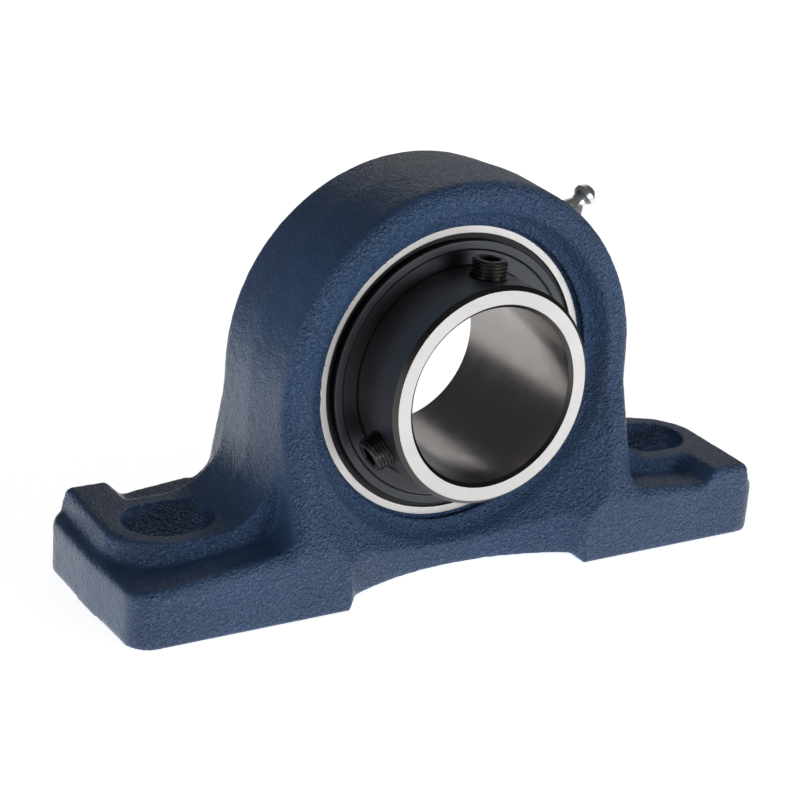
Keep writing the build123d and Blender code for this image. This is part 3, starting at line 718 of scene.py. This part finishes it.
relax = casting.modifiers.new("relax", "SMOOTH")
relax.factor = RELAX_STRENGTH
relax.iterations = RELAX_ROUNDS
relax.vertex_group = "as_cast"
waves = bpy.data.textures.new("sand_waves", "CLOUDS")
waves.noise_scale = SKIN_WAVE * MM
waves.noise_depth = 2
uneven = casting.modifiers.new("uneven", "DISPLACE")
uneven.texture = waves
uneven.mid_level = 1.0
uneven.strength = SKIN_DEPTH * MM
uneven.vertex_group = "as_cast"
with_modifiers_applied(casting)

points = points_of(casting)
from_centre = np.linalg.norm(points, axis=1)
points[on_seat] *= (seat_radius / from_centre[on_seat])[:, None]
points[on_base, 2] = cad_low.z / MM
set_points(casting, points)
casting.data.materials.clear()
casting.data.materials.append(enamel)
casting.data.materials.append(milled_iron)
bare = (on_seat & (abs(points[:, 1]) < OUTER_REAR - HELD_BAND / 2)) | on_base
for face in casting.data.polygons:
    face.material_index = int(all(bare[v] for v in face.vertices))
stands_for(casting, "cast_body", "housing")
print("the casting is", [round(float(size), 1) for size in np.ptp(points, axis=0)], "mm")

# %% [markdown]
# ## Inner ring
#
# Both rings are turned, hardened and ground. Their end faces are ground bright, and catch the softbox as a
# clean pale ring. The inner ring runs on to the front, far enough to hold the set screws. Its solid has the
# right size but sharp edges, so it is turned again here from the same radii, with a small round at each
# corner. The ball groove is a true arc, a little larger than the ball, as it is on every ball bearing.

# %% Inner ring
EDGE_ROUND = 0.18
RING_CHAMFER = 1.2
BORE_CHAMFER = 1.0
RACE_CONFORMITY = 1.04
RACE_PLAY = 0.02
ARC_STEPS = 20


def arc(centre_radius, radius, from_y, to_y, side):
    """Outline points on a circle round (centre_radius, 0), on its inner side for -1 or outer side for 1."""
    heights = np.linspace(from_y, to_y, ARC_STEPS)
    return [(centre_radius + side * math.sqrt(radius**2 - y**2), y) for y in heights]


race = BALL_RADIUS * RACE_CONFORMITY
inner_centre = PITCH_RADIUS - BALL_RADIUS - RACE_PLAY + race
inner_edge = math.sqrt(race**2 - (inner_centre - RING_RADIUS) ** 2)
inner_outline = [(BORE_RADIUS + BORE_CHAMFER, RING_FRONT), (RING_RADIUS - RING_CHAMFER, RING_FRONT),
                 (RING_RADIUS, RING_FRONT + RING_CHAMFER)]
inner_outline += arc(inner_centre, race, -inner_edge, inner_edge, -1)
inner_outline += [(RING_RADIUS, RING_REAR - RING_CHAMFER), (RING_RADIUS - RING_CHAMFER, RING_REAR),
                  (BORE_RADIUS + BORE_CHAMFER, RING_REAR), (BORE_RADIUS, RING_REAR - BORE_CHAMFER),
                  (BORE_RADIUS, RING_FRONT + BORE_CHAMFER)]
inner_ring = lathe("ground_inner_ring", inner_outline, EDGE_ROUND)
print("inner ring:", round(RING_REAR - RING_FRONT, 1), "mm long, groove radius", round(race, 2), "mm")

# %% [markdown]
# ## Outer ring
#
# The outside of the outer ring is a sphere, so that the bearing can swivel in its seat, with a groove that
# leads the grease in. Of its end face the eye gets a thin bright ring: on the inside it ends in a lip over
# the edge of the seal, and its outermost part has paint from the casting on it. A painted stripe in the
# material could fake the ring, but the lip throws a shadow on the seal, and only geometry does that.

# %% Outer ring
SEAL_STEP_DEPTH = 3.4
LAND_STEP = 2.0
LIP_WIDTH = 1.15
LIP_DEPTH = 0.55
PAINTED_RADIUS = 41.9
SHOW_DEPTH = 0.3
GREASE_GROOVE = (5.7, 7.5)
GREASE_GROOVE_DEPTH = 0.8

land_radius = CORE_RADIUS - LAND_STEP
lip_radius = CORE_RADIUS - LIP_WIDTH
outer_centre = PITCH_RADIUS + BALL_RADIUS + RACE_PLAY - race
outer_edge = math.sqrt(race**2 - (land_radius - outer_centre) ** 2)
step_y = OUTER_REAR - SEAL_STEP_DEPTH
outer_outline = [(lip_radius, OUTER_FRONT), (PAINTED_RADIUS, OUTER_FRONT)]
outer_outline += arc(0, OUTER_SPHERE, OUTER_FRONT, GREASE_GROOVE[0], 1)
outer_outline += [(math.sqrt(OUTER_SPHERE**2 - y**2) - GREASE_GROOVE_DEPTH, y) for y in GREASE_GROOVE]
outer_outline += arc(0, OUTER_SPHERE, GREASE_GROOVE[1], OUTER_REAR, 1)
outer_outline += [(PAINTED_RADIUS, OUTER_REAR), (lip_radius, OUTER_REAR),
                  (lip_radius, OUTER_REAR - LIP_DEPTH), (CORE_RADIUS, OUTER_REAR - LIP_DEPTH),
                  (CORE_RADIUS, step_y), (land_radius, step_y)]
outer_outline += arc(outer_centre, race, outer_edge, -outer_edge, 1)
outer_outline += [(land_radius, -step_y), (CORE_RADIUS, -step_y), (CORE_RADIUS, OUTER_FRONT + LIP_DEPTH),
                  (lip_radius, OUTER_FRONT + LIP_DEPTH)]
outer_ring = lathe("ground_outer_ring", outer_outline, EDGE_ROUND)


# %% Finish of the outer ring
def in_colours(piece, *materials, rule=None):
    """Gives the piece its materials. The rule picks one for each face from its middle and its direction."""
    piece.data.materials.clear()
    for material in materials:
        piece.data.materials.append(material)
    if rule:
        for face in piece.data.polygons:
            face.material_index = rule(face.center / MM, face.normal)


def outer_finish(middle, direction):
    """Ground steel, with enamel on the outermost part of the end faces, where the mask stopped short."""
    at_end = abs(middle.y) > OUTER_REAR - SHOW_DEPTH
    return int(at_end and math.hypot(middle.x, middle.z) > PAINTED_RADIUS)


in_colours(outer_ring, ground_face, enamel, rule=outer_finish)
stands_for(outer_ring, "ground_steel", "outer_ring")
print("the bright face runs from", round(lip_radius, 1), "to", PAINTED_RADIUS, "mm radius")

# %% [markdown]
# ## Set screws
#
# Two set screws lock the ring to its shaft. They are small socket screws with a fine thread of 1 mm pitch,
# blackened in a hot oxide bath, which leaves a near black, slightly oily skin. The thread is the one detail
# that tells a screw from a plug, and it shows in the screw's outline, so it is real geometry and not a
# bump: the radius of each ring of points follows the thread's flanks as it climbs.

# %% Threads and hexagons
SCREW_STEPS = 96
SCREW_RADIUS = 4.95
THREAD_PITCH = 1.0
THREAD_DEPTH = 0.52
THREAD_SLICES = 14
FLANK_SLOPE = 1.4
FLAT_SHARE = 0.2


def hexagon(across_flats, height):
    """One ring of points round a hexagon of this width across its flats."""
    angles = 2 * math.pi * np.arange(SCREW_STEPS) / SCREW_STEPS
    radius = across_flats / 2 / np.cos((angles + math.pi / 6) % (math.pi / 3) - math.pi / 6)
    return circle(radius, height, SCREW_STEPS)


def thread_ring(height):
    """One ring of points on a right-hand thread with flat crests and roots."""
    angles = 2 * math.pi * np.arange(SCREW_STEPS) / SCREW_STEPS
    climb = (height / THREAD_PITCH - angles / (2 * math.pi)) % 1
    flank = np.clip((1 - abs(2 * climb - 1)) * FLANK_SLOPE - FLAT_SHARE, 0, 1)
    rim = SCREW_RADIUS - THREAD_DEPTH * (1 - flank)
    return circle(rim, height, SCREW_STEPS)


def chamfered(ring, limit):
    """The ring with every point brought in to the limit where it reaches past it."""
    radii = np.hypot(ring[:, 0], ring[:, 1])
    shrink = np.minimum(1, limit / radii)
    return ring * np.stack([shrink, shrink, np.ones_like(shrink)], 1)


# %% A set screw
HEX_KEY = 5.0
HEX_DEPTH = 5.5
SOCKET_LEAD = 0.35
SOCKET_CONE = 1.0
HEAD_CHAMFER = 0.7
POINT_CHAMFER = 1.12
CUP_RADIUS = 2.6
CUP_DEPTH = 1.0
AXIS_RADIUS = 0.02
THREAD_CREASE = math.radians(38)


def set_screw(name, length):
    """A cup point socket set screw, standing on its point."""
    rings = [circle(AXIS_RADIUS, CUP_DEPTH, SCREW_STEPS), circle(CUP_RADIUS, 0, SCREW_STEPS)]
    count = int(length / THREAD_PITCH * THREAD_SLICES)
    for height in np.linspace(0, length, count):
        limit = SCREW_RADIUS - max(0, POINT_CHAMFER - height) - max(0, height - length + HEAD_CHAMFER)
        rings.append(chamfered(thread_ring(height), limit))
    rings += [hexagon(HEX_KEY + 2 * SOCKET_LEAD, length), hexagon(HEX_KEY, length - SOCKET_LEAD),
              hexagon(HEX_KEY, length - HEX_DEPTH),
              circle(AXIS_RADIUS, length - HEX_DEPTH - SOCKET_CONE, SCREW_STEPS)]
    piece = skinned(name, [ring * MM for ring in rings], ends=True)
    piece.data.set_sharp_from_angle(angle=THREAD_CREASE)
    return piece


# %% [markdown]
# ## Holes for the screws
#
# Each screw stands in a drilled hole with a countersink, and the dark edge of that hole is what shows that
# the screw goes in. A dark disc could be painted there, but a real hole also looks right when the screw
# runs out. So a drill of the same form is cut out of the ring at the place and angle of the screw's own
# solid.

# %% Screws and their holes
HOLE_RADIUS = 5.0
HOLE_CHAMFER = 0.55
DRILL_START = -4
CUT_CREASE = math.radians(30)
END_FACING = 0.9
CHAMFER_FACING = 0.3


def spoke_of(name, out):
    """The frame of a node that stands along this direction from the bore's axis, and the node's length."""
    points = points_of(frame["nodes"][name])
    along = points @ np.array(out)
    middle = (points[:, 1].min() + points[:, 1].max()) / 2
    depth = Vector((0, 1, 0))
    turn = Matrix((depth, out.cross(depth), out)).transposed()
    place = out * float(along.min()) * MM + depth * float(middle) * MM
    return Matrix.Translation(place) @ turn.to_4x4(), float(along.max() - along.min())


def hole_cutter(length):
    """A drill with a countersink for the ring's outside."""
    rise = RING_RADIUS - BORE_RADIUS
    wide = HOLE_RADIUS + 2 * HOLE_CHAMFER
    outline = [(AXIS_RADIUS, DRILL_START), (HOLE_RADIUS, DRILL_START), (HOLE_RADIUS, rise - HOLE_CHAMFER),
               (wide, rise + HOLE_CHAMFER), (wide, length), (AXIS_RADIUS, length)]
    return skinned("cutter", [circle(r * MM, z * MM, SCREW_STEPS) for r, z in outline], ends=True)


def cut_out(piece, cutter):
    """Cuts the cutter's form out of the piece."""
    knife = piece.modifiers.new("cut", "BOOLEAN")
    knife.object = cutter
    knife.operation = "DIFFERENCE"
    knife.solver = "EXACT"
    with_modifiers_applied(piece)
    bpy.data.objects.remove(cutter)
    piece.data.set_sharp_from_angle(angle=CUT_CREASE)


for name, joint in (("set_screw_top", "screw_top_run"), ("set_screw_side", "screw_side_run")):
    out = Vector(named(frame["joints"], joint)["axis"]).normalized()
    stand, length = spoke_of(name, out)
    screw = placed(set_screw(name + "_threaded", length), stand)
    in_colours(screw, black_oxide)
    stands_for(screw, "black_screw", name)
    lift = stand.copy()
    lift.translation = out * BORE_RADIUS * MM + Vector((0, stand.translation.y, 0))
    cut_out(inner_ring, placed(hole_cutter(length), lift))
    print(name, "is", round(length, 1), "mm long and has", int(length / THREAD_PITCH), "turns of thread")


def ring_finish(middle, direction):
    """Bright on the end faces, dark on the outside, darker on the chamfers, and honed in the bore."""
    if abs(direction.y) > END_FACING:
        return 0
    if abs(direction.y) > CHAMFER_FACING:
        return 3
    return 1 if math.hypot(middle.x, middle.z) > (BORE_RADIUS + RING_RADIUS) / 2 else 2


# The ring's outside takes the darker grey steel, which is partly painted shade.
in_colours(inner_ring, ground_face, shaded_ground_outside, honed_bore, turned_chamfer, rule=ring_finish)
stands_for(inner_ring, "ground_steel", "inner_ring")

# %% [markdown]
# ## Seals and slingers
#
# A slinger is a thin disc pressed from sheet steel, with its rim turned in over the seal. It turns with the
# shaft and throws water off. A pressed part has no crisp corner anywhere, because the sheet bends over the
# tool's radius. So its section is drawn with a round at every bend and spun on the same lathe: a turned-in
# rim, a flat band, and a step down to a slightly sunk face. The seal's core and lip keep their solids,
# which show only as a thin dark ring.

# %% Slingers and seals
SHEET = 1.0
BEND_ROUND = 0.42
FACE_SINK = 0.42
RIM_WIDTH = 2.4
RIM_STEP = 0.5
FOLD_WIDTH = 0.25
FOLD_SINK = 0.924
FOLD_BACK = 1.2


def slinger_outline(front, back):
    """The slinger's section: its sunk face from the ring outwards, the flat band, the rim, and the back."""
    out = 1 if back > front else -1
    edge = SLINGER_RADIUS
    return [(RING_RADIUS, front + out * FOLD_SINK), (RING_RADIUS + FOLD_WIDTH, front + out * FACE_SINK),
            (edge - RIM_WIDTH - RIM_STEP, front + out * FACE_SINK), (edge - RIM_WIDTH, front),
            (edge, front), (edge, back), (edge - SHEET, back), (edge - SHEET, front + out * SHEET),
            (RING_RADIUS, front + out * FOLD_BACK)]


for side in ("front", "rear"):
    low, high = reach(f"{side}_slinger")[1:]
    face, rim_end = (low, high) if side == "front" else (high, low)
    slinger = lathe(f"{side}_pressed_slinger", slinger_outline(face, rim_end), BEND_ROUND)
    in_colours(slinger, pressed_dark)
    stands_for(slinger, "slinger_steel", f"{side}_slinger")
    # The seal core is coloured nearly black: painted shade for the groove between slinger and ring.
    in_colours(frame["nodes"][f"{side}_seal_core"], seal_steel_painted_dark)
    in_colours(frame["nodes"][f"{side}_seal_lip"], rubber)
    print(side, "slinger: face at", round(face, 1), "mm, rim", round(abs(rim_end - face), 1), "mm deep")

# %% [markdown]
# ## Grease nipple
#
# The nipple is turned from hexagonal bar and zinc plated. Its hexagon has the same chamfer as a nut, which
# turns each flat's top edge into a shallow arc, and its head is turned to the shape that a grease gun's
# coupler grips. It could be a hexagon and a turned head as two meshes, but rings of points go from one to
# the other in a single skin.

# %% Nipple
NIPPLE_HEX = 9.0
HEX_HEIGHT = 2.4
HEX_CHAMFER = math.tan(math.radians(30))
HEX_EDGE = 0.04
HEX_INSET = 0.15
STEM_RADIUS = 3.0
STEM_CHAMFER = 0.5
GREASE_HOLE = 0.7
HEAD_ROUND = 0.25
HEAD_OUTLINE = [(3.7, 2.4), (3.45, 3.1), (2.2, 5.4), (2.2, 6.6), (3.25, 7.8), (3.25, 9.2), (1.75, 11.0),
                (1.55, 11.1), (0.8, 11.1), (0.8, 10.6), (1.05, 10.3), (1.05, 4.1), (GREASE_HOLE, 4.0)]
END_POINTS = 3
NIPPLE_CREASE = math.radians(32)


def nut_ring(height, sign):
    """A ring of the hexagon whose corners are cut back by the nut's chamfer, at its top or its bottom."""
    ring = hexagon(NIPPLE_HEX, height)
    over = np.hypot(ring[:, 0], ring[:, 1]) - NIPPLE_HEX / 2
    ring[:, 2] -= sign * np.maximum(over, 0) * HEX_CHAMFER + sign * HEX_EDGE
    return ring


def grease_nipple(name, stem):
    """The nipple from the end of its stem to its mouth, with the seat of its hexagon at height 0."""
    rings = [circle(GREASE_HOLE, -stem, SCREW_STEPS),
             circle(STEM_RADIUS - STEM_CHAMFER, -stem, SCREW_STEPS),
             circle(STEM_RADIUS, -stem + STEM_CHAMFER, SCREW_STEPS), circle(STEM_RADIUS, 0, SCREW_STEPS),
             circle(NIPPLE_HEX / 2 - HEX_INSET, 0, SCREW_STEPS), nut_ring(0, -1), nut_ring(HEX_HEIGHT, 1),
             circle(NIPPLE_HEX / 2 - HEX_INSET, HEX_HEIGHT, SCREW_STEPS)]
    head = rounded([r + z * 1j for r, z in HEAD_OUTLINE + [(GREASE_HOLE, -stem)]], HEAD_ROUND)
    rings += [circle(p.real, p.imag, SCREW_STEPS) for p in head[END_POINTS:-END_POINTS]]
    piece = skinned(name, [ring * MM for ring in rings], closed=True)
    piece.data.set_sharp_from_angle(angle=NIPPLE_CREASE)
    return piece


stand, length = spoke_of("nipple_body", nipple_out)
stem = length - max(z for r, z in HEAD_OUTLINE)
nipple = placed(grease_nipple("plated_grease_nipple", stem), stand @ Matrix.Translation((0, 0, stem * MM)))
in_colours(nipple, zinc_plate)
stands_for(nipple, "plated_steel", "nipple_body")
print("nipple:", round(length, 1), "mm long, of which the stem is", round(stem, 1), "mm")

# %% [markdown]
# ## The nipple's spring
#
# A small spring of drawn wire holds the valve ball up in its seat. When a grease gun pushes the ball in,
# the real spring shortens; this mesh stays rigid. The wire is a ring of points carried along a helix.

# %% Spring
SPRING_WIRE = 0.16
SPRING_TURNS = 4
COIL_STEPS = 32
WIRE_STEPS = 12


def coil(name, radius, wire, length, turns):
    """A spring wound from round wire that stands on its foot, this long over all."""
    around = 2 * math.pi * np.arange(WIRE_STEPS) / WIRE_STEPS
    rings = []
    for share in np.linspace(0, 1, COIL_STEPS * turns + 1):
        angle = 2 * math.pi * turns * share
        outwards = np.array([math.cos(angle), math.sin(angle), 0])
        middle = outwards * radius + [0, 0, wire + (length - 2 * wire) * share]
        section = np.outer(np.cos(around), outwards) + np.outer(np.sin(around), [0, 0, 1])
        rings.append((middle + wire * section) * MM)
    return skinned(name, rings, ends=True)


stand, length = spoke_of("nipple_spring", nipple_out)
spring_low, spring_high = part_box("nipple_spring")
coil_radius = (spring_high.y - spring_low.y) / 2 / MM - SPRING_WIRE
spring = placed(coil("wound_valve_spring", coil_radius, SPRING_WIRE, length, SPRING_TURNS), stand)
in_colours(spring, spring_steel)
stands_for(spring, "plated_steel", "nipple_spring")
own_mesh(spring)

# %% [markdown]
# ## Balls and cage
#
# Ten polished balls run between the rings, held apart by a cage of two pressed halves that are riveted
# together. The seals hide them, but they are there when the bearing is taken apart. Their solids are
# already as exact as a mesh could be, so they keep their shape and only get their finish. The valve ball of
# the nipple is polished in the same way.

# %% Inside pieces
for name, solid in frame["nodes"].items():
    if name.startswith("ball_"):
        in_colours(solid, ball_steel)
for name in ("cage_front", "cage_rear", "cage_rivets"):
    in_colours(frame["nodes"][name], cage_steel)
in_colours(frame["nodes"]["nipple_ball"], ball_steel)
